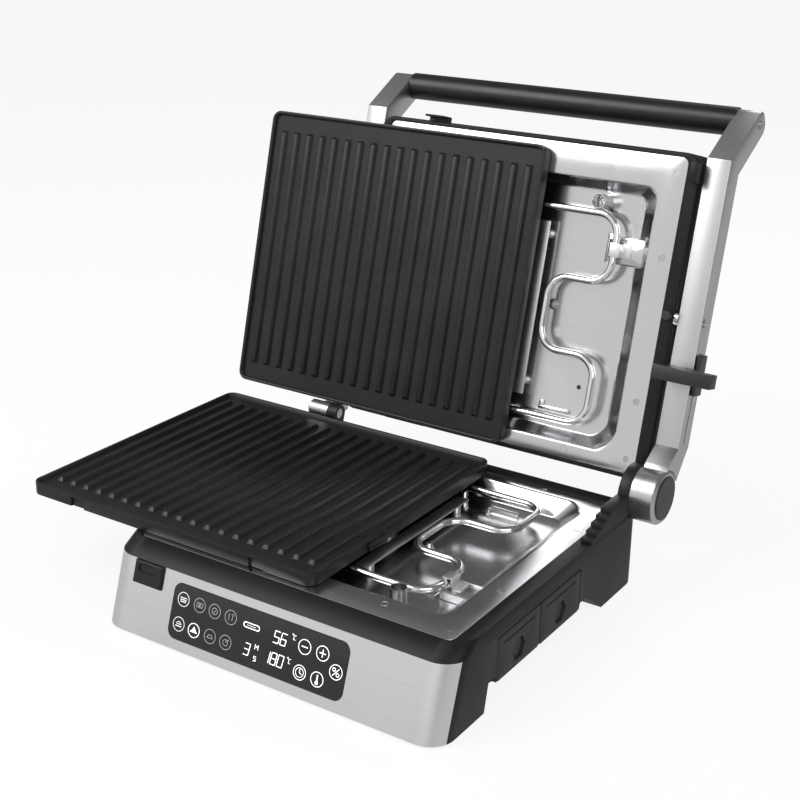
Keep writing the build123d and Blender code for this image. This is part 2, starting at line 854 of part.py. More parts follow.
# Plate release button in the slanted panel, with a finger scoop below its top edge
with BuildPart() as base_release_button:
    with BuildSketch(panel_plane.offset(-button_depth)):
        with Locations((button_x, button_s)):
            Rectangle(button_width, button_height)
    extrude(amount=button_depth + button_proud)
    fillet(base_release_button.faces().sort_by(panel_out_axis)[-1].edges(), button_edge)
    with BuildSketch(panel_plane.offset(button_proud - scoop_depth)):
        with Locations((button_x, button_s + button_height / 2 - scoop_drop)):
            SlotOverall(scoop_length, scoop_width)
    extrude(amount=2 * scoop_depth, mode=Mode.SUBTRACT)
save(base_release_button.part, "base_release_button")


def make_tray(front_y, rear_y_side, name):
    """Drip tray that slides out to the right, with its door."""
    width = rear_y_side - front_y - 2 * seat_gap
    mid_y = (front_y + rear_y_side) / 2
    low_z = arch_ceiling_z + wall + seat_gap
    door_x = half_width - door_thickness
    with BuildPart() as tray:
        with BuildSketch(Plane.XY.offset(low_z)):
            with Locations((door_x - tray_length / 2, mid_y)):
                Rectangle(tray_length, width - tray_door_lip)
        extrude(amount=tray_height - 1)
        with BuildSketch(Plane.XY.offset(low_z + tray_wall)):
            with Locations((door_x - tray_length / 2, mid_y)):
                Rectangle(tray_length - 2 * tray_wall, width - tray_door_lip - 2 * tray_wall)
        extrude(amount=tray_height, mode=Mode.SUBTRACT)
        with BuildSketch(Plane.YZ.offset(door_x)):
            with Locations((mid_y, (door_bottom_z + door_top_z) / 2)):
                RectangleRounded(width, door_top_z - door_bottom_z, door_corner)
        extrude(amount=door_thickness)
        # pull recess and trim groove in the door
        with BuildSketch(Plane.YZ.offset(half_width - pull_depth)):
            with Locations((mid_y, door_bottom_z + pull_rise)):
                RegularPolygon(pull_radius, 6)
        extrude(amount=2 * pull_depth, mode=Mode.SUBTRACT)
        with BuildSketch(Plane.YZ.offset(half_width - groove_depth)):
            with Locations((mid_y, door_top_z - groove_drop)):
                Rectangle(width - 2 * groove_margin, groove_width)
        extrude(amount=2 * groove_depth, mode=Mode.SUBTRACT)
    save(tray.part, name)


make_tray(tray_front_y, tray_split_y, "front_drip_tray")
make_tray(tray_split_y, tray_rear_y, "rear_drip_tray")


def hub_clearance(play):
    """Room for both hinge hubs around the hinge axis, outside the plates' width."""
    with BuildPart() as room:
        for side, radius in ((1, hub_radius), (-1, slim_radius)):
            with BuildSketch(side_plane.offset(side * (hub_inner_x - 1))):
                Circle(radius + play)
            extrude(amount=side * 40)
    return room.part


lid_back_n = lid_face_n - lid_frame_depth
lid_mid_v = (lid_rear_v + lid_front_v) / 2

pivot_n = lid_face_n - lid_frame_depth / 2

# Lid's black inner frame
with BuildPart() as lid_frame:
    with BuildSketch(lid_plane.offset(lid_back_n)):
        with Locations((0, lid_mid_v)):
            RectangleRounded(2 * lid_half_width, lid_front_v - lid_rear_v, lid_corner)
    extrude(amount=lid_frame_depth - 0.2)
    chamfer(lid_frame.faces().sort_by(lid_out_axis)[-1].edges(), 1.0)
    with BuildSketch(lid_plane.offset(lid_back_n - 1)):
        with Locations((0, hinge_y - frame_inner_y)):
            Rectangle(recess_width + 2 * frame_overlap, frame_inner_depth + 2 * frame_overlap)
    extrude(amount=lid_frame_depth + 2, mode=Mode.SUBTRACT)
    with BuildSketch(lid_plane.offset(lid_face_n - pan_sheet - cut_gap)):
        with Locations((0, hinge_y - (pan_front_y + pan_rear_y) / 2)):
            Rectangle(pan_width + 4 * cut_gap, pan_rear_y - pan_front_y + 4 * cut_gap)
    extrude(amount=3, mode=Mode.SUBTRACT)
    # stop lug on the side away from the plates' path
    with BuildSketch(side_plane.offset(half_width - stop_thickness)):
        with Locations((lid_front_v - stop_drop, lid_face_n)):
            Rectangle(stop_length, stop_height)
    extrude(amount=stop_thickness - 2 * seat_gap)
    add(hub_clearance(2 * seat_gap), mode=Mode.SUBTRACT)
    # pivot bores
    for side in (-1, 1):
        with BuildSketch(side_plane.offset(side * (half_width - pivot_reach - 1))):
            with Locations((pivot_v, pivot_n)):
                Circle(pivot_radius + running_gap)
        extrude(amount=side * (pivot_reach + 2), mode=Mode.SUBTRACT)
    # pocket for the lid's release button
    with BuildSketch(lid_plane.offset(lid_face_n - lid_button_low_n - seat_gap)):
        with Locations((lid_button_x, lid_front_v)):
            Rectangle(lid_button_width + 2 * seat_gap, 2 * (lid_button_depth + button_travel))
    extrude(amount=lid_button_body + 2 * seat_gap, mode=Mode.SUBTRACT)
save(lid_frame.part, "lid_frame")

# Lid's outer shell
with BuildPart() as lid_cover:
    with BuildSketch(lid_plane.offset(lid_face_n - lid_depth)):
        with Locations((0, lid_mid_v + 1)):
            RectangleRounded(2 * lid_half_width, lid_front_v - lid_rear_v - 2, lid_corner)
    extrude(amount=lid_depth - lid_frame_depth)
    fillet(lid_cover.faces().sort_by(lid_out_axis)[0].edges(), lid_edge_fillet)
    with BuildSketch(lid_plane.offset(lid_face_n - lid_depth + lid_wall)):
        with Locations((0, lid_mid_v + 1)):
            RectangleRounded(
                2 * (lid_half_width - lid_edge_fillet),
                lid_front_v - lid_rear_v - 2 - 2 * lid_edge_fillet,
                lid_corner - lid_edge_fillet,
            )
    extrude(amount=lid_depth, mode=Mode.SUBTRACT)
    add(hub_clearance(2 * seat_gap), mode=Mode.SUBTRACT)
save(lid_cover.part, "lid_cover")

# Brushed sheet on the lid's outside
with BuildPart() as lid_top_plate:
    with BuildSketch(lid_plane.offset(lid_face_n - lid_depth - top_plate_sheet)):
        with Locations((0, lid_mid_v + 1)):
            RectangleRounded(
                2 * (lid_half_width - top_plate_margin),
                lid_front_v - lid_rear_v - 2 * top_plate_margin,
                lid_corner - 4,
            )
    extrude(amount=top_plate_sheet)
save(lid_top_plate.part, "lid_top_plate")

# Release button on the lid's free edge
with BuildPart() as lid_release_button:
    with BuildSketch(lid_plane.offset(lid_face_n - lid_button_low_n)):
        with Locations((lid_button_x, lid_front_v + (lid_button_reach - lid_button_depth) / 2)):
            Rectangle(lid_button_width, lid_button_reach + lid_button_depth)
    extrude(amount=lid_button_body)
    with BuildSketch(lid_plane.offset(lid_face_n - lid_button_low_n)):
        with Locations((lid_button_x, lid_front_v + seat_gap + button_travel + 1)):
            RectangleRounded(lid_button_width, 2, 0.9)
    extrude(amount=lid_button_head)
    chamfer(lid_release_button.faces().sort_by(lid_up_axis)[-1].edges(), 0.6)
save(lid_release_button.part, "lid_release_button")


def arm_profile(plane, side):
    """Side view of an arm: straight along the lid, then bent back to the handle.

    The left arm lies further back, so that the lid can tilt while its plate is slid out over it.
    """
    lean = Vector(arm_tip_v - arm_bend_v, arm_tip_n - arm_front_n).normalized()
    front_n = arm_front_n if side > 0 else left_front_n
    front_bend_v = arm_bend_v + (front_n - arm_front_n) * lean.X / lean.Y
    rear_n = arm_front_n - arm_depth
    bend_back = arm_depth * (1 - lean.X) / -lean.Y
    if side > 0:
        foot = [(hub_radius - 6, hub_radius - 14), (hub_radius + 4, 4)]
        heel = [(hub_radius - 12, 4 - hub_radius), (0, 0)]
    else:
        foot = [(3, 0.5 - slim_radius), (5, front_n)]
        heel = [(0, rear_n + 4), (2 - slim_radius, 3 - slim_radius)]
    with BuildSketch(plane) as profile:
        with BuildLine():
            Polyline(
                *foot,
                (arm_foot_v, front_n),
                (front_bend_v, front_n),
                (arm_tip_v, arm_tip_n),
                (arm_tip_v + lean.Y * arm_depth, arm_tip_n - lean.X * arm_depth),
                (arm_bend_v - bend_back, rear_n),
                (arm_foot_v, rear_n),
                *heel,
                close=True,
            )
        make_face()
        fillet(profile.vertices().sort_by(Axis.X)[-2:], arm_end_radius)
        if side < 0:
            with Locations((pivot_v, pivot_n)):
                Circle(left_boss_radius)
    return profile.sketch


def make_arm(side, radius, name):
    """Brushed arm from the hinge barrel to the handle."""
    low_x, high_x = sorted((side * arm_inner_x, side * arm_outer_x))
    with BuildPart() as arm:
        extrude(arm_profile(side_plane.offset(low_x), side), amount=high_x - low_x, dir=(1, 0, 0))
        with BuildSketch(side_plane.offset(low_x - 1)):
            Circle(radius)
            with Locations((pivot_v, pivot_n)):
                Circle(pivot_radius)
        extrude(amount=arm_thickness + 2, mode=Mode.SUBTRACT)
        if side > 0:
            with BuildSketch(side_plane.offset(high_x - slot_depth)):
                with Locations((selector_v - selector_travel / 2, selector_n)):
                    SlotOverall(selector_travel + guide_length + 6, slot_width)
            extrude(amount=slot_depth + 1, mode=Mode.SUBTRACT)
    save(arm.part, name)


def make_barrel(side, radius, pocket_radius, name):
    """Steel hinge barrel at the foot of an arm, turning on the hinge pin."""
    with BuildPart() as barrel:
        with BuildSketch(side_plane.offset(side * half_width)):
            Circle(radius)
        extrude(amount=side * (arm_outer_x - half_width))
        ends = barrel.faces().sort_by(Axis.X)
        chamfer(ends[-1 if side > 0 else 0].edges(), min(barrel_chamfer, radius / 6))
        with BuildSketch(side_plane.offset(side * (half_width - 1))):
            Circle(pin_radius + running_gap)
        extrude(amount=side * (arm_outer_x - half_width), mode=Mode.SUBTRACT)
        with BuildSketch(side_plane.offset(side * arm_outer_x)):
            Circle(pocket_radius)
        extrude(amount=-side * cap_thickness / 2, mode=Mode.SUBTRACT)
    save(barrel.part, name)


def make_cap(side, radius, name):
    """Dark disc on the barrel's outer end."""
    with BuildPart() as cap:
        with BuildSketch(side_plane.offset(side * (arm_outer_x - cap_thickness / 2))):
            Circle(radius)
        extrude(amount=side * cap_thickness)
        ends = cap.faces().sort_by(Axis.X)
        chamfer(ends[-1 if side > 0 else 0].edges(), 0.6)
    save(cap.part, name)


selector_n = arm_front_n - arm_depth / 2
make_arm(1, hub_radius, "right_arm")
make_arm(-1, slim_radius, "left_arm")
make_barrel(1, hub_radius, cap_radius, "right_hinge_barrel")
make_barrel(-1, slim_radius, slim_cap_radius, "left_hinge_barrel")
make_cap(1, cap_radius, "right_hinge_cap")
make_cap(-1, slim_cap_radius, "left_hinge_cap")

# Handle bar between the arms
with BuildPart() as handle_bar:
    with BuildSketch(side_plane.offset(-arm_inner_x)):
        with Locations((handle_v, handle_n)):
            Circle(handle_radius)
    extrude(amount=2 * arm_inner_x)
save(handle_bar.part, "handle_bar")

# Screws that close the handle's ends, on the arms' outer faces
with BuildPart() as handle_screws:
    for side in (-1, 1):
        with BuildSketch(side_plane.offset(side * arm_outer_x)):
            with Locations((handle_v, handle_n)):
                Circle(handle_screw_radius)
        extrude(amount=side * handle_screw_head)
save(handle_screws.part, "handle_screws")

# Pivot pins that let the lid tilt between the arms
with BuildPart() as pivot_pins:
    for side in (-1, 1):
        with BuildSketch(side_plane.offset(side * (half_width - pivot_reach))):
            with Locations((pivot_v, pivot_n)):
                Circle(pivot_radius)
        extrude(amount=side * (pivot_reach + arm_gap + arm_thickness - wall))
        with BuildSketch(side_plane.offset(side * (lid_half_width + seat_gap))):
            with Locations((pivot_v, pivot_n)):
                Circle(collar_radius)
        extrude(amount=side * (lid_side_gap + arm_gap - seat_gap))
save(pivot_pins.part, "pivot_pins")

# Height selector: bar across the front of the right arm and a tab on its side
with BuildPart() as height_selector:
    with BuildSketch(lid_plane.offset(selector_rear_n)):
        with Locations(((selector_inner_x + selector_outer_x) / 2, selector_v)):
            Rectangle(selector_outer_x - selector_inner_x, selector_bar_v)
    extrude(amount=selector_front_n - selector_rear_n)
    with BuildSketch(lid_plane.offset(arm_front_n + seat_gap)):
        with Locations(((arm_inner_x + arm_outer_x + selector_tab_thickness) / 2, selector_v)):
            Rectangle(arm_thickness + selector_tab_thickness + 2 * seat_gap, selector_bar_v)
    extrude(amount=selector_rear_n - arm_front_n)
    with BuildSketch(lid_plane.offset(selector_n - selector_tab_depth / 2)):
        with Locations((arm_outer_x + seat_gap + selector_tab_thickness / 2, selector_v)):
            Rectangle(selector_tab_thickness, selector_tab_v)
    extrude(amount=selector_tab_depth)
    with BuildSketch(lid_plane.offset(selector_n)):
        with Locations((arm_outer_x + seat_gap + selector_tab_thickness / 2, selector_v)):
            Rectangle(selector_tab_thickness, selector_bar_v)
    extrude(amount=arm_front_n + 2 * seat_gap - selector_n)
    with BuildSketch(side_plane.offset(arm_outer_x - slot_depth + seat_gap)):
        with Locations((selector_v, selector_n)):
            SlotOverall(guide_length, slot_width - 2 * seat_gap)
    extrude(amount=slot_depth)
save(height_selector.part, "height_selector")
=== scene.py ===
import math

import bmesh
import bpy
from mathutils import Matrix, Vector


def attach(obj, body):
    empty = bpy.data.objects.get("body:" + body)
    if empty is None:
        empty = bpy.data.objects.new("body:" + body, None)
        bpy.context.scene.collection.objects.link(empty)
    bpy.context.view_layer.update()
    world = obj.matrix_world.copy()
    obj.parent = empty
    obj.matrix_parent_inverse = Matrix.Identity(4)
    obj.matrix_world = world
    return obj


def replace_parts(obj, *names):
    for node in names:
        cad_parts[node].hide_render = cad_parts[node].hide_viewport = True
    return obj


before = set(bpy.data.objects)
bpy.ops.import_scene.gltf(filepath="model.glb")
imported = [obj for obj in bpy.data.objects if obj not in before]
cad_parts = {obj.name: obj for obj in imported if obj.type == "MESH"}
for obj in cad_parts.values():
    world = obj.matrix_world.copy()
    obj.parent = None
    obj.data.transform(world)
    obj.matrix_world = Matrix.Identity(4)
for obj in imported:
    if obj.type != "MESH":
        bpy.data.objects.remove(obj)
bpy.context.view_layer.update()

MM = 0.001

# Places taken over from the CAD source, in millimetres, with its shift to the origin
SHIFT = Vector((35.0, -60.0, 0.0))
HINGE_Y, HINGE_Z = 144.7, 84.4
OPEN = math.radians(104.4)
FLANGE_Z = 70.6
LID_FACE_N = -11.4
PANEL_FOOT = Vector((0, -176.8, 2.0))
PANEL_TOP = Vector((0, -157.7, 60.3))
GLASS_PROUD = 0.4

LID_OUT = Vector((0, -math.sin(OPEN), -math.cos(OPEN)))
LID_UP = Vector((0, -math.cos(OPEN), math.sin(OPEN)))
PANEL_UP = (PANEL_TOP - PANEL_FOOT).normalized()
PANEL_OUT = Vector((0, -PANEL_UP.z, PANEL_UP.y))


def lid_point(x, v, n):
    """A place on the lid: across, up from the hinge and out of its face."""
    return SHIFT + Vector((x, HINGE_Y, HINGE_Z)) + LID_UP * v + LID_OUT * n


def base_pan_point(x, y, z):
    return SHIFT + Vector((x, y, FLANGE_Z + z))


def lid_pan_point(x, y, z):
    return lid_point(x, HINGE_Y - y, LID_FACE_N + z)


def panel_point(x, s, out):
    return SHIFT + PANEL_FOOT + Vector((x, 0, 0)) + PANEL_UP * s + PANEL_OUT * out


# Materials
def material(name, color, metallic=0.0, roughness=0.5, specular=0.5):
    made = bpy.data.materials.new(name)
    made.use_nodes = True
    shader = made.node_tree.nodes["Principled BSDF"]
    shader.inputs["Base Color"].default_value = (*color, 1)
    shader.inputs["Metallic"].default_value = metallic
    shader.inputs["Roughness"].default_value = roughness
    shader.inputs["Specular IOR Level"].default_value = specular
    return made, made.node_tree, shader


def coordinates(tree, scale, turn=0.0):
    """Object coordinates in metres, turned about X and stretched by scale."""
    source = tree.nodes.new("ShaderNodeTexCoord")
    mapping = tree.nodes.new("ShaderNodeMapping")
    mapping.vector_type = "POINT"
    mapping.inputs["Rotation"].default_value = (turn, 0, 0)
    mapping.inputs["Scale"].default_value = scale
    tree.links.new(source.outputs["Object"], mapping.inputs["Vector"])
    return mapping.outputs["Vector"]


def noise(tree, vector, scale, detail=4.0, rough=0.55):
    node = tree.nodes.new("ShaderNodeTexNoise")
    node.inputs["Scale"].default_value = scale
    node.inputs["Detail"].default_value = detail
    node.inputs["Roughness"].default_value = rough
    tree.links.new(vector, node.inputs["Vector"])
    return node.outputs["Fac"]


def remap(tree, value, low, high, from_low=0.3, from_high=0.7):
    node = tree.nodes.new("ShaderNodeMapRange")
    node.inputs["From Min"].default_value = from_low
    node.inputs["From Max"].default_value = from_high
    node.inputs["To Min"].default_value = low
    node.inputs["To Max"].default_value = high
    tree.links.new(value, node.inputs["Value"])
    return node.outputs["Result"]


def tint(tree, value, dark, light):
    """Colour between two tones, driven by a value from 0 to 1."""
    node = tree.nodes.new("ShaderNodeMix")
    node.data_type = "RGBA"
    node.inputs["A"].default_value = (*dark, 1)
    node.inputs["B"].default_value = (*light, 1)
    tree.links.new(value, node.inputs["Factor"])
    return node.outputs["Result"]


def bump(tree, shader, height, strength, distance):
    node = tree.nodes.new("ShaderNodeBump")
    node.inputs["Strength"].default_value = strength
    node.inputs["Distance"].default_value = distance
    tree.links.new(height, node.inputs["Height"])
    tree.links.new(node.outputs["Normal"], shader.inputs["Normal"])


# Noise scales are per metre, and bump depths are in metres
MOTTLE_SCALE, CLOUD_SCALE = 18.0, 9.0
GRAIN_DEPTH, SCRATCH_DEPTH, SPECKLE_DEPTH = 0.00012, 0.00005, 0.00010
SMOOTHER, ROUGHER_PLASTIC, ROUGHER_METAL = 0.05, 0.06, 0.07
NO_STRETCH = (1, 1, 1)


def paint(tree, shader, value, dark, light, socket="Base Color"):
    """Varies a colour of the shader between two tones with a noise value."""
    tree.links.new(tint(tree, remap(tree, value, 0, 1), dark, light), shader.inputs[socket])


def vary_gloss(tree, shader, value, low, high):
    tree.links.new(remap(tree, value, low, high), shader.inputs["Roughness"])


def moulded(name, color, light, roughness, grain, strength, specular=0.4):
    """Moulded plastic or rubber: fine grain, a faint mottle and uneven gloss."""
    made, tree, shader = material(name, color, 0.0, roughness, specular)
    vector = coordinates(tree, NO_STRETCH)
    mottle = noise(tree, vector, MOTTLE_SCALE, 5.0)
    fine = noise(tree, vector, grain, 2.0)
    paint(tree, shader, mottle, color, light)
    vary_gloss(tree, shader, mottle, roughness - SMOOTHER, roughness + ROUGHER_PLASTIC)
    bump(tree, shader, fine, strength, GRAIN_DEPTH)
    return made


def brushed(name, color, light, roughness, stretch, strength, turn=0.0):
    """Brushed metal: long fine scratches along one axis, with soft cloudy changes of gloss."""
    made, tree, shader = material(name, color, 1.0, roughness)
    lines = noise(tree, coordinates(tree, stretch, turn), 1.0, 6.0, 0.7)
    cloud = noise(tree, coordinates(tree, NO_STRETCH), CLOUD_SCALE, 3.0)
    paint(tree, shader, lines, color, light)
    vary_gloss(tree, shader, cloud, roughness - SMOOTHER, roughness + ROUGHER_METAL)
    bump(tree, shader, lines, strength, SCRATCH_DEPTH)
    return made


black_plastic = moulded(
    "black_plastic", (0.011, 0.011, 0.012), (0.017, 0.017, 0.019),
    roughness=0.46, grain=2600, strength=0.25, specular=0.3)
frame_plastic = moulded(
    "frame_plastic", (0.008, 0.008, 0.009), (0.012, 0.012, 0.013),
    roughness=0.42, grain=2600, strength=0.18, specular=0.22)
tray_plastic = moulded(
    "tray_plastic", (0.014, 0.014, 0.015), (0.021, 0.021, 0.023),
    roughness=0.50, grain=1500, strength=0.30)
black_rubber = moulded(
    "black_rubber", (0.014, 0.014, 0.014), (0.022, 0.022, 0.022),
    roughness=0.75, grain=900, strength=0.35, specular=0.25)
# also used for flat dark shapes that paint the shade inside the pans' holes and slots
dark_cap = moulded(
    "dark_cap", (0.018, 0.018, 0.019), (0.026, 0.026, 0.028),
    roughness=0.40, grain=1800, strength=0.12)
selector_plastic = moulded(
    "selector_plastic", (0.018, 0.018, 0.020), (0.027, 0.027, 0.029),
    roughness=0.42, grain=1800, strength=0.20)
handle_paint = moulded(
    "handle_paint", (0.009, 0.009, 0.010), (0.014, 0.014, 0.015),
    roughness=0.34, grain=1400, strength=0.10)
board_green = moulded(
    "board_green", (0.010, 0.080, 0.035), (0.016, 0.110, 0.050),
    roughness=0.40, grain=700, strength=0.15)
panel_steel = brushed(
    "panel_steel", (0.80, 0.80, 0.81), (0.87, 0.87, 0.88),
    roughness=0.24, stretch=(3, 900, 900), strength=0.08)
arm_steel = brushed(
    "arm_steel", (0.54, 0.54, 0.55), (0.59, 0.59, 0.60),
    roughness=0.36, stretch=(900, 900, 6), strength=0.08, turn=OPEN - math.pi / 2)
pan_steel = brushed(
    "pan_steel", (0.64, 0.64, 0.65), (0.67, 0.67, 0.68),
    roughness=0.19, stretch=(8, 700, 700), strength=0.02)
chrome = brushed(
    "chrome", (0.78, 0.78, 0.79), (0.84, 0.84, 0.85),
    roughness=0.09, stretch=(40, 40, 40), strength=0.03)
strap_steel = brushed(
    "strap_steel", (0.78, 0.78, 0.79), (0.86, 0.86, 0.87),
    roughness=0.34, stretch=(300, 6, 6), strength=0.05)
barrel_steel = brushed(
    "barrel_steel", (0.50, 0.50, 0.52), (0.64, 0.64, 0.66),
    roughness=0.24, stretch=(1400, 8, 8), strength=0.12)
screw_steel = brushed(
    "screw_steel", (0.42, 0.42, 0.43), (0.55, 0.55, 0.56),
    roughness=0.30, stretch=(200, 200, 200), strength=0.08)


def plate_coating():
    """Non-stick coating: fine speckle and a soft, slightly uneven sheen."""
    made, tree, shader = material("plate_coating", (0.012, 0.012, 0.013), 0.0, 0.38, 0.35)
    vector = coordinates(tree, NO_STRETCH)
    fine = noise(tree, vector, 3200.0, 2.0)
    mottle = noise(tree, vector, 26.0, 5.0)
    paint(tree, shader, mottle, (0.010, 0.010, 0.011), (0.016, 0.016, 0.017))
    vary_gloss(tree, shader, mottle, 0.32, 0.42)
    bump(tree, shader, fine, 0.30, SPECKLE_DEPTH)
    return made


def glass_face():
    """Dark control glass: glossy, with a faint unevenness."""
    made, tree, shader = material("glass_face", (0.010, 0.010, 0.011), 0.0, 0.08, 0.5)
    mottle = noise(tree, coordinates(tree, NO_STRETCH), 30.0, 3.0)
    vary_gloss(tree, shader, mottle, 0.06, 0.12)
    shader.inputs["Coat Weight"].default_value = 0.3
    return made


def glow(name, color, strength):
    """A lit or printed mark on the glass, slightly uneven in brightness."""
    made, tree, shader = material(name, color, 0.0, 0.4, 0.2)
    mottle = noise(tree, coordinates(tree, NO_STRETCH), 300.0, 2.0)
    paint(tree, shader, mottle, tuple(0.85 * c for c in color), color, "Emission Color")
    shader.inputs["Emission Strength"].default_value = strength
    return made


coating = plate_coating()
glass_black = glass_face()
lit_white = glow("lit_white", (0.95, 0.97, 1.0), 0.85)
lit_dim = glow("lit_dim", (0.30, 0.30, 0.31), 0.35)
lit_soft = glow("lit_soft", (0.70, 0.71, 0.73), 0.55)

NODE_MATERIALS = {
    "base_housing": black_plastic, "base_top_frame": frame_plastic, "front_panel": panel_steel,
    "control_glass": glass_black, "control_board": board_green, "power_board": board_green,
    "base_reflector_pan": pan_steel, "lid_reflector_pan": pan_steel,
    "base_heating_element": chrome, "lid_heating_element": chrome,
    "base_element_straps": strap_steel, "lid_element_straps": strap_steel,
    "base_element_clips": strap_steel, "lid_element_clips": strap_steel,
    "base_thermostat": screw_steel, "lid_thermostat": screw_steel,
    "base_pan_screws": screw_steel, "lid_pan_screws": screw_steel,
    "lower_grill_plate": coating, "upper_grill_plate": coating,
    "right_hinge_bracket": black_plastic, "left_hinge_bracket": black_plastic,
    "hinge_pins": screw_steel, "rubber_feet": black_rubber, "base_screws": screw_steel,
    "cord_gland": black_rubber, "base_release_button": black_plastic,
    "front_drip_tray": tray_plastic, "rear_drip_tray": tray_plastic,
    "lid_frame": frame_plastic, "lid_cover": black_plastic, "lid_top_plate": panel_steel,
    "lid_release_button": black_plastic, "right_arm": arm_steel, "left_arm": arm_steel,
    "right_hinge_barrel": barrel_steel, "left_hinge_barrel": barrel_steel,
    "right_hinge_cap": dark_cap, "left_hinge_cap": dark_cap, "handle_bar": handle_paint,
    "handle_screws": screw_steel, "pivot_pins": screw_steel, "height_selector": selector_plastic,
}
for node_name, made in NODE_MATERIALS.items():
    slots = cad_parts[node_name].data.materials
    if slots:
        for index in range(len(slots)):
            slots[index] = made
    else:
        slots.append(made)


# Edges of the CAD pieces rounded off
SHARP_ANGLE = math.radians(32.0)
FLAT_ANGLE = math.radians(0.6)
MERGE_DISTANCE = 0.00001
BEVEL_SEGMENTS = 2


def smooth_faces(bm, sharp_angle):
    """Smooth shading, broken at the edges that are sharper than an angle."""
    for face in bm.faces:
        face.smooth = True
    for edge in bm.edges:
        edge.smooth = edge.calc_face_angle(0) < sharp_angle


def add_piece(name, bm, made, body):
    """A mesh piece of one material that rides on a body."""
    data = bpy.data.meshes.new(name)
    bm.to_mesh(data)
    bm.free()
    data.materials.append(made)
    piece = bpy.data.objects.new(name, data)
    bpy.context.scene.collection.objects.link(piece)
    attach(piece, body)
    return piece


def soften(node, width, made, body):
    """A piece with the node's own shape and small round outer edges, in place of the node."""
    bm = bmesh.new()
    bm.from_mesh(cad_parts[node].data)
    bmesh.ops.remove_doubles(bm, verts=bm.verts, dist=MERGE_DISTANCE)
    bmesh.ops.dissolve_limit(bm, angle_limit=FLAT_ANGLE, verts=bm.verts, edges=bm.edges)
    sharp = [e for e in bm.edges if e.is_convex and e.calc_face_angle(0) > SHARP_ANGLE]
    bmesh.ops.bevel(bm, geom=sharp, offset=width * MM, offset_type="OFFSET", segments=BEVEL_SEGMENTS,
                    profile=0.5, affect="EDGES", clamp_overlap=True)
    bmesh.ops.triangulate(bm, faces=[f for f in bm.faces if len(f.verts) > 4])
    smooth_faces(bm, SHARP_ANGLE)
    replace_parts(add_piece(f"{node}_rounded", bm, made, body), node)


# node: width of the round edge in millimetres, material, body, slot
ROUNDED = {
    "lower_grill_plate": (0.9, coating, "lower_plate", "plate_coating"),
    "upper_grill_plate": (0.9, coating, "upper_plate", "plate_coating"),
    "right_arm": (0.7, arm_steel, "arms", "brushed_arm"),
    "left_arm": (0.7, arm_steel, "arms", "brushed_arm"),
    "lid_frame": (0.8, frame_plastic, "lid", "black_plastic"),
    "base_top_frame": (0.8, frame_plastic, "base", "black_plastic"),
    "base_housing": (0.7, black_plastic, "base", "black_plastic"),
    "lid_cover": (0.7, black_plastic, "lid", "black_plastic"),
    "right_hinge_bracket": (0.8, black_plastic, "base", "black_plastic"),
    "height_selector": (0.8, selector_plastic, "selector", "black_plastic"),
    "front_drip_tray": (0.6, tray_plastic, "front_tray", "black_plastic"),
    "rear_drip_tray": (0.6, tray_plastic, "rear_tray", "black_plastic"),
    "base_element_straps": (0.3, strap_steel, "base", "bright_pan"),
    "lid_element_straps": (0.3, strap_steel, "lid", "bright_pan"),
    "base_element_clips": (0.3, strap_steel, "base", "bright_pan"),
    "lid_element_clips": (0.3, strap_steel, "lid", "bright_pan"),
}
for node_name, (width, made, body_name, slot_name) in ROUNDED.items():
    soften(node_name, width, made, body_name)


# Solids lofted through closed rings
CREASE_ANGLE = math.radians(35.0)
FOOT_SUNK = 0.1
CUT_CORNER_SHARE = 0.4
# across and up, as shares of the ridge's width and height
RIDGE_PROFILE = ((-0.5, -0.3), (-0.28, 0.8), (0, 1.0), (0.28, 0.8), (0.5, -0.3))


def around(x, y, radius, k, steps):
    """The place on a circle at step k of a full turn."""
    a = 2 * math.pi * k / steps
    return x + radius * math.cos(a), y + radius * math.sin(a)


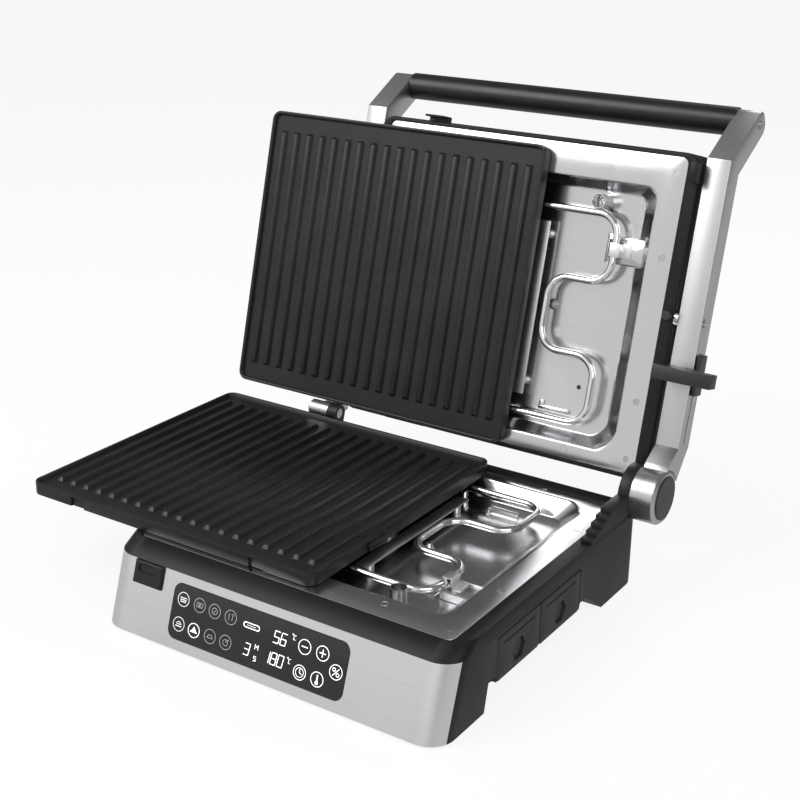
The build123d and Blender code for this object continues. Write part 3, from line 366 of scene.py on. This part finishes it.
class Shapes:
    """Small solids placed by a point function, gathered into one mesh."""

    def __init__(self, place):
        self.bm = bmesh.new()
        self.place = place

    def loft(self, rings, capped=True):
        """Skins closed rings of (x, y, z) points that all have the same count."""
        rows = [[self.bm.verts.new(self.place(*p) * MM) for p in ring] for ring in rings]
        count = len(rows[0])
        pairs = list(zip(rows, rows[1:])) + ([] if capped else [(rows[-1], rows[0])])
        for low, high in pairs:
            for k in range(count):
                self.bm.faces.new([low[k], low[(k + 1) % count], high[(k + 1) % count], high[k]])
        if capped:
            self.bm.faces.new(rows[0][::-1])
            self.bm.faces.new(rows[-1])

    def turned(self, x, y, profile, steps=32):
        """A turned solid about an upright axis, from its (radius, z) profile."""
        self.loft([[(*around(x, y, r, k, steps), z) for k in range(steps)] for r, z in profile])

    def ring(self, x, y, radius, width, height, steps=40):
        """A low round ridge in a circle."""
        rows = [(radius - width / 2, -FOOT_SUNK), (radius - width / 4, height),
                (radius + width / 4, height), (radius + width / 2, -FOOT_SUNK)]
        self.loft([[(*around(x, y, r, k, steps), z) for r, z in rows] for k in range(steps)], capped=False)

    def ridge(self, points, width, height, floor=0.0):
        """A low ridge along a path on the sheet."""
        rings = []
        for k, (x, y) in enumerate(points):
            ax, ay = points[max(k - 1, 0)]
            bx, by = points[min(k + 1, len(points) - 1)]
            length = math.hypot(bx - ax, by - ay)
            nx, ny = -(by - ay) / length, (bx - ax) / length
            rings.append([(x + nx * s * width, y + ny * s * width, floor + h * height)
                          for s, h in RIDGE_PROFILE])
        self.loft(rings)

    def block(self, low, high, edge):
        """A box with chamfered top and bottom and cut corners."""
        (x0, y0, z0), (x1, y1, z1) = low, high

        def outline(inset, z):
            c = edge + inset * CUT_CORNER_SHARE
            a0, b0, a1, b1 = x0 + inset, y0 + inset, x1 - inset, y1 - inset
            return [(a0 + c, b0, z), (a1 - c, b0, z), (a1, b0 + c, z), (a1, b1 - c, z),
                    (a1 - c, b1, z), (a0 + c, b1, z), (a0, b1 - c, z), (a0, b0 + c, z)]

        self.loft([outline(edge, z0), outline(0, z0 + edge), outline(0, z1 - edge), outline(edge, z1)])

    def build(self, name, made, body, slot):
        bmesh.ops.recalc_face_normals(self.bm, faces=self.bm.faces)
        smooth_faces(self.bm, CREASE_ANGLE)
        return add_piece(name, self.bm, made, body)


# Reflector pans with rolled edges: x and y as in the CAD source before its shift, z from the flange
PAN_HALF, PAN_FRONT, PAN_REAR, PAN_CORNER = 150.0, -140.0, 134.6, 6.0
RECESS_HALF, RECESS_FRONT, RECESS_REAR = 128.0, -112.0, 121.0
RECESS_RADIUS, RECESS_CHAMFER, RECESS_DEPTH, RECESS_DRAFT = 13.0, 20.0, 17.0, 8.0
LEAST_RADIUS = 2.0
# how far the sides, the corners' radius and the chamfers move for each millimetre of inset
SIDE_SPREAD, RADIUS_SHARE, CHAMFER_SHARE = 2.0, 0.6, 0.3
SHEET = 0.8
ROLL_RADIUS, ROLL_REACH, ROLL_STEPS = 2.6, 1.6, 5
CORNER_STEPS = 10
CHAMFER_BULGE, BULGE_POWER = 0.16, 0.6
# height and inset of the rings around the flange's outer edge
FLANGE_EDGE = ((-SHEET, 0.3), (-0.3, 0.0), (-0.05, 0.12), (0.0, 0.35))

# Small forms on the right half of a pan, repeated on the left; profiles rise from the recess floor
FLANGE_RINGS = ((141, -54.3), (141, 71), (80, -122), (81, 127))
FLANGE_RING_RADIUS, FLANGE_RING_WIDTH, FLANGE_RING_HEIGHT = 3.0, 0.8, 0.22
U_MARK_X, U_MARK_Y = 112, -97
U_MARK_HALF, U_MARK_LEG, U_MARK_WIDTH, U_MARK_HEIGHT, U_MARK_STEPS = 4, 9, 1.8, 0.7, 8
DIMPLE_X, DIMPLE_Y, DIMPLE_RING_RADIUS = 74, -94, 6.4
DIMPLE_PROFILE = ((5.0, -0.1), (4.2, 0.8), (2.2, 1.2), (0.4, 1.3))
POST_X, POST_Y = 40, 3
POST_PROFILE = ((5.2, -0.1), (3.8, 1.8), (2.6, 4.6), (2.2, 5.0))
# the floor hole is a flat dark disc that paints the shade inside the hole
FLOOR_HOLE_X, FLOOR_HOLE_Y = 78, 72
FLOOR_HOLE_PROFILE = ((2.1, -0.3), (2.1, 0.07), (1.9, 0.08))
STUD_X, STUD_Y = 19.5, 7
STUD_PROFILE = ((2.0, 5.0), (2.0, 7.4), (1.2, 7.8))
BRACKET_X, TAB_X, HINGE_BRACKET_X = 110, 86, 58
# knob on the lid frame: across, up the lid, and its profile out of the lid's face
KNOB_X, KNOB_V = 156.5, 152
KNOB_PROFILE = ((3.6, -0.3), (3.6, 3.6), (4.3, 4.0), (4.3, 6.2), (3.6, 6.9), (1.6, 7.0))


def corner_arc(cx, cy, radius, start):
    turns = [math.radians(start + 90 * k / (CORNER_STEPS - 1)) for k in range(CORNER_STEPS)]
    return [(cx + radius * math.cos(a), cy + radius * math.sin(a)) for a in turns]


def chamfer_arc(cx, cy, reach, start):
    """A corner cut off at 45 degrees, with both ends of the cut rolled over."""
    a = math.radians(start)
    ux, uy = math.cos(a), math.sin(a)
    vx, vy = -uy, ux
    path = []
    for k in range(CORNER_STEPS):
        t = k / (CORNER_STEPS - 1)
        bulge = CHAMFER_BULGE * math.sin(math.pi * t) ** BULGE_POWER
        s, c = (1 - t) + bulge, t + bulge
        path.append((cx + reach * (s * ux + c * vx), cy + reach * (s * uy + c * vy)))
    return path


def flange_loop(z, inset=0.0):
    half, front, rear, r = PAN_HALF - inset, PAN_FRONT + inset, PAN_REAR - inset, PAN_CORNER - inset
    loop = (corner_arc(half - r, rear - r, r, 0) + corner_arc(-half + r, rear - r, r, 90)
            + corner_arc(-half + r, front + r, r, 180) + corner_arc(half - r, front + r, r, 270))
    return [(x, y, z) for x, y in loop]


def recess_loop(z, inset):
    half, front, rear = RECESS_HALF - SIDE_SPREAD * inset, RECESS_FRONT + inset, RECESS_REAR - inset
    r = max(RECESS_RADIUS - inset * RADIUS_SHARE, LEAST_RADIUS)
    c = RECESS_CHAMFER - inset * CHAMFER_SHARE
    loop = (chamfer_arc(half - c, rear - c, c, 0) + chamfer_arc(-half + c, rear - c, c, 90)
            + corner_arc(-half + r, front + r, r, 180) + corner_arc(half - r, front + r, r, 270))
    return [(x, y, z) for x, y in loop]


def rolled_wall(shift):
    """Rings down the recess wall, rolled over at the flange and at the floor."""
    slope = math.atan2(RECESS_DRAFT, RECESS_DEPTH)
    turns = [(math.pi / 2 - slope) * k / (ROLL_STEPS - 1) for k in range(ROLL_STEPS)]
    drops = [(ROLL_RADIUS * (1 - math.cos(a)), ROLL_REACH - ROLL_RADIUS * math.sin(a)) for a in turns]
    rings = [(-drop, -reach) for drop, reach in drops]
    rings += [(drop - RECESS_DEPTH, RECESS_DRAFT + reach) for drop, reach in drops[::-1]]
    return [recess_loop(z + shift, inset) for z, inset in rings]


def make_pan(place, node, body):
    """The pan as one sheet, from under the recess round the flange and down into it."""
    shapes = Shapes(place)
    flange = [flange_loop(z, inset) for z, inset in FLANGE_EDGE]
    shapes.loft(rolled_wall(-SHEET)[::-1] + flange + rolled_wall(0.0))
    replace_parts(shapes.build(f"{node}_sheet", pan_steel, body, "bright_pan"), node)


def u_mark(shapes, x, y):
    """A U-shaped embossing on the pan's floor."""
    bend = [math.pi * k / U_MARK_STEPS for k in range(U_MARK_STEPS + 1)]
    path = [(x - U_MARK_HALF, y - U_MARK_LEG)]
    path += [(x - U_MARK_HALF * math.cos(a), y + U_MARK_HALF * math.sin(a)) for a in bend]
    path += [(x + U_MARK_HALF, y - U_MARK_LEG)]
    shapes.ridge(path, U_MARK_WIDTH, U_MARK_HEIGHT, -RECESS_DEPTH)


def floor_block(shapes, x, half, y_span, z_span, edge):
    """A block on the pan's floor, with its heights measured from the floor."""
    shapes.block((x - half, y_span[0], z_span[0] - RECESS_DEPTH),
                 (x + half, y_span[1], z_span[1] - RECESS_DEPTH), edge)


def floor_turned(shapes, x, y, profile, steps):
    """A turned form on the pan's floor, with its heights measured from the floor."""
    shapes.turned(x, y, [(r, z - RECESS_DEPTH) for r, z in profile], steps)


def pan_details(place, body, tag):
    """Embossings, brackets and small parts that both pans carry on each side, with the shade in their slots
    and holes painted as flat dark shapes.
    """
    pressed = Shapes(place)
    # dark cap shapes: thin dark sheets and discs that paint the shade in the tabs' slots and the floor holes,
    # and dark studs
    dark = Shapes(place)
    for side in (-1, 1):
        for x, y in FLANGE_RINGS:
            pressed.ring(side * x, y, FLANGE_RING_RADIUS, FLANGE_RING_WIDTH, FLANGE_RING_HEIGHT)
        u_mark(pressed, side * U_MARK_X, U_MARK_Y)
        floor_turned(pressed, side * DIMPLE_X, DIMPLE_Y, DIMPLE_PROFILE, 32)
        pressed.ring(side * DIMPLE_X, DIMPLE_Y, DIMPLE_RING_RADIUS, 1.0, 0.3 - RECESS_DEPTH)
        # raised bracket, from the side wall in to the element
        floor_block(pressed, side * BRACKET_X, 17, (-66.2, -41.8), (-0.4, 8.1), 1.0)
        # slotted tab beside the tube's outer bend
        floor_block(pressed, side * TAB_X, 4, (-68, -42), (-0.2, 1.6), 0.8)
        # painted shade: a thin dark sheet on the tab, standing in for the shade inside its slot
        floor_block(dark, side * TAB_X, 1.6, (-63, -47), (1.4, 1.7), 0.1)
        # bracket near the hinge side, with a leg at its left end
        floor_block(pressed, side * HINGE_BRACKET_X, 15, (94.5, 98), (-0.2, 4.4), 0.7)
        floor_block(pressed, side * HINGE_BRACKET_X - 13, 2, (90, 98), (-0.2, 3.0), 0.6)
        floor_turned(pressed, side * POST_X, POST_Y, POST_PROFILE, 24)
        # painted shade: a flat dark disc on the floor, standing in for the shade inside a hole
        floor_turned(dark, side * FLOOR_HOLE_X, FLOOR_HOLE_Y, FLOOR_HOLE_PROFILE, 20)
        floor_turned(dark, side * STUD_X, STUD_Y, STUD_PROFILE, 16)
    pressed.build(f"{tag}_pan_embossings", pan_steel, body, "bright_pan")
    dark.build(f"{tag}_pan_painted_shade_and_studs", dark_cap, body, "dark_cap")


def lid_knob():
    """Dark knob beside the right pivot, on the lid frame's face."""
    shapes = Shapes(lambda x, y, z: lid_point(KNOB_X + x, KNOB_V + y, LID_FACE_N + z))
    shapes.turned(0, 0, KNOB_PROFILE, 28)
    shapes.build("lid_pivot_knob", dark_cap, "lid", "dark_cap")


lid_knob()
for pan_place, pan_body, pan_tag in ((base_pan_point, "base", "base"), (lid_pan_point, "lid", "lid")):
    make_pan(pan_place, f"{pan_tag}_reflector_pan", pan_body)
    pan_details(pan_place, pan_body, pan_tag)


# Flat marks on the control glass, placed in millimetres across and up the panel
SEGMENTS = {
    "0": "abcdef", "1": "bc", "2": "abged", "3": "abgcd", "4": "fgbc", "5": "afgcd",
    "6": "afgedc", "7": "abc", "8": "abcdefg", "9": "abcdfg", "C": "afed",
}
SEGMENT_GAP, DIGIT_SPACE, DIGIT_LEAN = 0.28, 1.7, 0.12
DIGIT_WIDTH, DIGIT_HEIGHT, DIGIT_LINE = 4.8, 9.2, 0.75


class Marks:
    """Thin flat shapes drawn on a plane, gathered into one mesh."""

    def __init__(self, place, out):
        self.bm = bmesh.new()
        self.place = place
        self.out = out

    def face(self, points):
        made = [self.bm.verts.new(self.place(x, s, self.out) * MM) for x, s in points]
        self.bm.faces.new(made)

    def stroke(self, points, width, close=False):
        """A line of even width with round joints."""
        loop = list(points) + ([points[0]] if close else [])
        for (ax, ay), (bx, by) in zip(loop, loop[1:]):
            length = math.hypot(bx - ax, by - ay)
            nx, ny = -(by - ay) / length * width / 2, (bx - ax) / length * width / 2
            self.face([(ax + nx, ay + ny), (ax - nx, ay - ny), (bx - nx, by - ny), (bx + nx, by + ny)])
        for x, y in loop:
            self.disc(x, y, width / 2, 8)

    def disc(self, x, y, radius, steps=24):
        self.face([around(x, y, radius, k, steps) for k in range(steps)])

    def ring(self, x, y, radius, width, steps=40):
        inner, outer = radius - width / 2, radius + width / 2
        for k in range(steps):
            self.face([around(x, y, inner, k, steps), around(x, y, outer, k, steps),
                       around(x, y, outer, k + 1, steps), around(x, y, inner, k + 1, steps)])

    def digits(self, text, x, y, w=DIGIT_WIDTH, h=DIGIT_HEIGHT, width=DIGIT_LINE):
        """Seven-segment digits, leaning a little, centred on a place."""
        ends = {
            "a": ((-w / 2, h / 2), (w / 2, h / 2)), "b": ((w / 2, h / 2), (w / 2, 0)),
            "c": ((w / 2, 0), (w / 2, -h / 2)), "d": ((-w / 2, -h / 2), (w / 2, -h / 2)),
            "e": ((-w / 2, 0), (-w / 2, -h / 2)), "f": ((-w / 2, h / 2), (-w / 2, 0)),
            "g": ((-w / 2, 0), (w / 2, 0)),
        }
        step = w + DIGIT_SPACE
        start = x - step * (len(text) - 1) / 2
        for k, char in enumerate(text):
            cx = start + step * k
            for name in SEGMENTS[char]:
                (ax, ay), (bx, by) = ends[name]
                length = math.hypot(bx - ax, by - ay)
                ux, uy = (bx - ax) / length * SEGMENT_GAP, (by - ay) / length * SEGMENT_GAP
                line = [(ax + ux, ay + uy), (bx - ux, by - uy)]
                self.stroke([(cx + px + DIGIT_LEAN * py, y + py) for px, py in line], width)

    def build(self, name, made, body, slot):
        add_piece(name, self.bm, made, body)


BUTTON_RADIUS = 5.6
THIN, PLAIN, BOLD = 0.6, 0.8, 0.9
READOUTS = (("56", 14.1, 39.3), ("180", 11.2, 22.3), ("3", -14.7, 22.1))
UNITS = ((25.2, 44.3), (24.2, 25.5))
MINUS, PLUS, CLOCK = (37.2, 39.7), (53.9, 39.8), (36.6, 19.6)
ALERT, PERCENT = (52.9, 19.4), (68.1, 29.7)
SLOT_LEFT, SLOT_RIGHT, SLOT_Y, SLOT_HALF = -19.5, -8.1, 40.4, 1.9
UPPER_FOODS = ((-83.1, 41.8), (-66.4, 41.7), (-51.0, 41.4), (-34.8, 41.3))
LOWER_FOODS = ((-83.8, 21.4), (-68.0, 20.8), (-51.5, 20.9), (-35.8, 20.9))


def moved(x, y, points):
    return [(x + dx, y + dy) for dx, dy in points]


def readouts(marks):
    """Digits, degree signs, the size letters and the slot-shaped indicator."""
    for text, x, y in READOUTS:
        marks.digits(text, x, y)
    for x, y in UNITS:
        marks.ring(x, y + 1.6, 0.6, 0.35, 12)
        marks.digits("C", x + 2.0, y - 0.6, 1.9, 3.4, 0.5)
    marks.stroke([(-7.4, 24.4), (-7.4, 27.8), (-5.9, 25.8), (-4.4, 27.8), (-4.4, 24.4)], 0.55)
    marks.stroke([(-4.9, 18.6), (-7.0, 18.9), (-6.9, 17.3), (-5.0, 16.9), (-4.9, 15.4), (-7.2, 15.2)], 0.55)
    for side in (-1, 1):
        marks.stroke([(SLOT_LEFT, SLOT_Y + side * SLOT_HALF), (SLOT_RIGHT, SLOT_Y + side * SLOT_HALF)], PLAIN)
    for x, start in ((SLOT_LEFT, 4), (SLOT_RIGHT, -4)):
        marks.stroke([around(x, SLOT_Y, SLOT_HALF, start + k, 16) for k in range(9)], PLAIN)
    marks.stroke([(SLOT_LEFT + 1.5, SLOT_Y), (SLOT_RIGHT - 1.5, SLOT_Y)], 0.35)


def buttons(marks):
    """Ringed signs: minus, plus, a clock, an exclamation mark, and a stroke between two rings."""
    for x, y in (MINUS, PLUS, CLOCK, ALERT, PERCENT):
        marks.ring(x, y, BUTTON_RADIUS, THIN)
    marks.stroke(moved(*MINUS, [(-2.6, 0), (2.6, 0)]), PLAIN)
    marks.stroke(moved(*PLUS, [(-2.7, 0), (2.7, 0)]), PLAIN)
    marks.stroke(moved(*PLUS, [(0, -2.7), (0, 2.7)]), PLAIN)
    marks.ring(*CLOCK, 3.6, 0.5)
    marks.stroke(moved(*CLOCK, [(0, 2.6), (0, 0), (1.9, -1.0)]), 0.65)
    marks.stroke(moved(*ALERT, [(0, -1.4), (0, 3.2)]), 1.1)
    marks.disc(ALERT[0], ALERT[1] - 2.7, 1.5)
    marks.stroke(moved(*PERCENT, [(-2.4, -2.8), (2.4, 2.8)]), 0.7)
    for x, y in moved(*PERCENT, [(-1.9, 1.7), (1.9, -1.7)]):
        marks.ring(x, y, 1.3, THIN, 16)


def food_icon(marks, x, y, kind):
    """A ringed food symbol of a plain, general kind."""
    marks.ring(x, y, BUTTON_RADIUS, THIN)
    if kind == 0:
        for half, rise in ((3.0, 1.2), (3.0, -0.4), (2.6, -2.0)):
            marks.stroke(moved(x, y, [(-half, rise), (half, rise)]), PLAIN)
    elif kind == 1:
        marks.stroke(moved(x, y, [(-2.8, -1.6), (-2.8, 1.8), (2.8, 1.8), (2.8, -1.6)]), THIN, True)
        marks.disc(x, y, 1.1, 12)
    elif kind == 2:
        marks.ring(x, y, 2.6, THIN, 20)
        marks.stroke(moved(x, y, [(-0.6, -1.0), (1.0, 0.8)]), THIN)
    elif kind == 3:
        marks.stroke(moved(x, y, [(-1.8, -2.4), (-1.8, 2.6)]), THIN)
        marks.stroke(moved(x, y, [(1.6, -2.4), (1.6, 0.6), (2.6, 2.6), (0.6, 2.6)]), THIN)
    elif kind == 4:
        marks.stroke(moved(x, y, [(-2.8, -1.6), (2.8, -1.6)]), BOLD)
        marks.stroke(moved(x, y, [(-2.4, 0.2), (-1.2, 1.9), (1.2, 1.9), (2.4, 0.2)]), THIN, True)
    elif kind == 5:
        marks.stroke(moved(x, y, [(-3.1, -1.3), (3.1, -1.3)]), BOLD)
        marks.face(moved(x, y, [(-2.4, -0.4), (2.4, -0.4), (1.2, 1.4), (0.3, 3.0), (-0.6, 2.9), (-1.0, 1.3)]))
    elif kind == 6:
        marks.stroke(moved(x, y, [(-2.8, -1.4), (-1.4, 1.0), (1.4, 1.2), (2.8, -1.2)]), THIN, True)
    else:
        marks.ring(x, y - 0.2, 2.4, 0.55, 20)
        marks.stroke(moved(x, y, [(0.2, 0.2), (2.8, 2.6)]), THIN)


bright = Marks(panel_point, GLASS_PROUD + 0.05)
soft = Marks(panel_point, GLASS_PROUD + 0.04)
dim = Marks(panel_point, GLASS_PROUD + 0.03)
readouts(bright)
buttons(bright)
food_marks = (soft, dim, dim, dim, soft, bright, dim, dim)
for kind, (marks, (x, y)) in enumerate(zip(food_marks, UPPER_FOODS + LOWER_FOODS)):
    food_icon(marks, x, y, kind)
bright.build("display_marks", lit_white, "base", "glass_black")
soft.build("soft_marks", lit_soft, "base", "glass_black")
dim.build("dim_marks", lit_dim, "base", "glass_black")


# Floor, light and camera
FLOOR_SIZE, FLOOR_TONE, FLOOR_SELF_LIT, FLOOR_IN_METAL = 12, 0.9, 0.88, 0.50
FILL_STRENGTH, ROOM_GREY = 0.55, 0.24
WINDOW_DIRECTION, WINDOW_EDGE, WINDOW_FULL = (-0.52, -0.84, 0.10), 0.20, 0.80
CAMERA_PLACE, CAMERA_LENS, CAMERA_SHIFT = (0.6465, -0.9739, 0.5996), 65.0, (0.0179, 0.0004)
CAMERA_YAW, CAMERA_PITCH, CAMERA_ROLL = math.radians(33.9), math.radians(-21.0), math.radians(0.5)
# lamp: place, what it points at, side in metres, power in watts
LAMPS = {
    "key": ((-0.9, -1.0, 1.5), (0, 0, 0.15), 1.2, 22),
    "fill": ((1.2, -0.9, 1.0), (0, 0, 0.15), 1.2, 9),
    "rear": ((0.2, 1.4, 1.3), (0, 0, 0.2), 1.0, 8),
}


def either_ray(tree, path, first, second):
    """1 where a light path is of the first or the second kind."""
    node = tree.nodes.new("ShaderNodeMath")
    node.operation = "MAXIMUM"
    tree.links.new(path.outputs[first], node.inputs[0])
    tree.links.new(path.outputs[second], node.inputs[1])
    return node.outputs[0]


def mix_shaders(tree, share, first, second):
    node = tree.nodes.new("ShaderNodeMixShader")
    tree.links.new(share, node.inputs["Fac"])
    tree.links.new(first, node.inputs[1])
    tree.links.new(second, node.inputs[2])
    return node.outputs["Shader"]


def floor():
    """A pale floor that keeps the object's shadow and is white to the camera."""
    bpy.ops.mesh.primitive_plane_add(size=FLOOR_SIZE, location=(0, 0, 0))
    plane = bpy.context.object
    plane.name = "floor"
    made = bpy.data.materials.new("floor_white")
    made.use_nodes = True
    tree = made.node_tree
    tree.nodes.clear()
    output = tree.nodes.new("ShaderNodeOutputMaterial")
    diffuse = tree.nodes.new("ShaderNodeBsdfDiffuse")
    diffuse.inputs["Color"].default_value = (FLOOR_TONE, FLOOR_TONE, FLOOR_TONE, 1)
    light = tree.nodes.new("ShaderNodeEmission")
    light.inputs["Color"].default_value = (1, 1, 1, 1)
    path = tree.nodes.new("ShaderNodeLightPath")
    share = tree.nodes.new("ShaderNodeMath")
    share.operation = "MULTIPLY"
    share.inputs[1].default_value = FLOOR_SELF_LIT
    tree.links.new(either_ray(tree, path, "Is Camera Ray", "Is Glossy Ray"), share.inputs[0])
    # metal sees a greyer floor than the camera does
    dimmer = tree.nodes.new("ShaderNodeMapRange")
    dimmer.inputs["To Min"].default_value = 1.0
    dimmer.inputs["To Max"].default_value = FLOOR_IN_METAL
    tree.links.new(path.outputs["Is Glossy Ray"], dimmer.inputs["Value"])
    tree.links.new(dimmer.outputs["Result"], light.inputs["Strength"])
    mixed = mix_shaders(tree, share.outputs[0], diffuse.outputs["BSDF"], light.outputs["Emission"])
    tree.links.new(mixed, output.inputs["Surface"])
    plane.data.materials.append(made)


def studio_world():
    """White to the camera, an even fill on the object, and a bright window for metal to mirror."""
    world = bpy.data.worlds.new("studio")
    bpy.context.scene.world = world
    world.use_nodes = True
    tree = world.node_tree
    tree.nodes.clear()
    output = tree.nodes.new("ShaderNodeOutputWorld")
    path = tree.nodes.new("ShaderNodeLightPath")
    fill = tree.nodes.new("ShaderNodeBackground")
    fill.inputs["Strength"].default_value = FILL_STRENGTH
    mirror = tree.nodes.new("ShaderNodeBackground")
    white = tree.nodes.new("ShaderNodeBackground")
    white.inputs["Strength"].default_value = 1.0
    # what metal sees: a large bright window at the front left in a grey room
    where = tree.nodes.new("ShaderNodeTexCoord")
    dot = tree.nodes.new("ShaderNodeVectorMath")
    dot.operation = "DOT_PRODUCT"
    dot.inputs[1].default_value = WINDOW_DIRECTION
    tree.links.new(where.outputs["Generated"], dot.inputs[0])
    fall = tree.nodes.new("ShaderNodeMapRange")
    fall.interpolation_type = "SMOOTHSTEP"
    fall.inputs["From Min"].default_value = WINDOW_EDGE
    fall.inputs["From Max"].default_value = WINDOW_FULL
    fall.inputs["To Min"].default_value = ROOM_GREY
    fall.inputs["To Max"].default_value = 1.0
    tree.links.new(dot.outputs["Value"], fall.inputs["Value"])
    tree.links.new(fall.outputs["Result"], mirror.inputs["Strength"])
    lit = mix_shaders(
        tree, path.outputs["Is Glossy Ray"], fill.outputs["Background"], mirror.outputs["Background"])
    seen = either_ray(tree, path, "Is Camera Ray", "Is Transmission Ray")
    tree.links.new(mix_shaders(tree, seen, lit, white.outputs["Background"]), output.inputs["Surface"])


def lamp(name, place, target, size, power):
    data = bpy.data.lights.new(name, "AREA")
    data.shape = "SQUARE"
    data.size = size
    data.energy = power
    piece = bpy.data.objects.new(name, data)
    piece.location = place
    piece.rotation_euler = (Vector(target) - Vector(place)).to_track_quat("-Z", "Y").to_euler()
    bpy.context.scene.collection.objects.link(piece)


def camera():
    """The photograph's view, turned left, tilted down and rolled a little."""
    turn = Vector((-math.sin(CAMERA_YAW), math.cos(CAMERA_YAW), 0))
    ahead = turn * math.cos(CAMERA_PITCH) + Vector((0, 0, math.sin(CAMERA_PITCH)))
    level = Vector((math.cos(CAMERA_YAW), math.sin(CAMERA_YAW), 0))
    rise = level.cross(ahead)
    right = level * math.cos(CAMERA_ROLL) + rise * math.sin(CAMERA_ROLL)
    up = rise * math.cos(CAMERA_ROLL) - level * math.sin(CAMERA_ROLL)
    data = bpy.data.cameras.new("camera")
    data.sensor_width = 36
    data.lens = CAMERA_LENS
    data.shift_x, data.shift_y = CAMERA_SHIFT
    piece = bpy.data.objects.new("camera", data)
    turned = Matrix((right, up, -ahead)).transposed().to_4x4()
    piece.matrix_world = Matrix.Translation(CAMERA_PLACE) @ turned
    bpy.context.scene.collection.objects.link(piece)
    bpy.context.scene.camera = piece


floor()
studio_world()
for lamp_name, lamp_values in LAMPS.items():
    lamp(lamp_name, *lamp_values)
camera()
bpy.context.scene.view_settings.view_transform = "Standard"
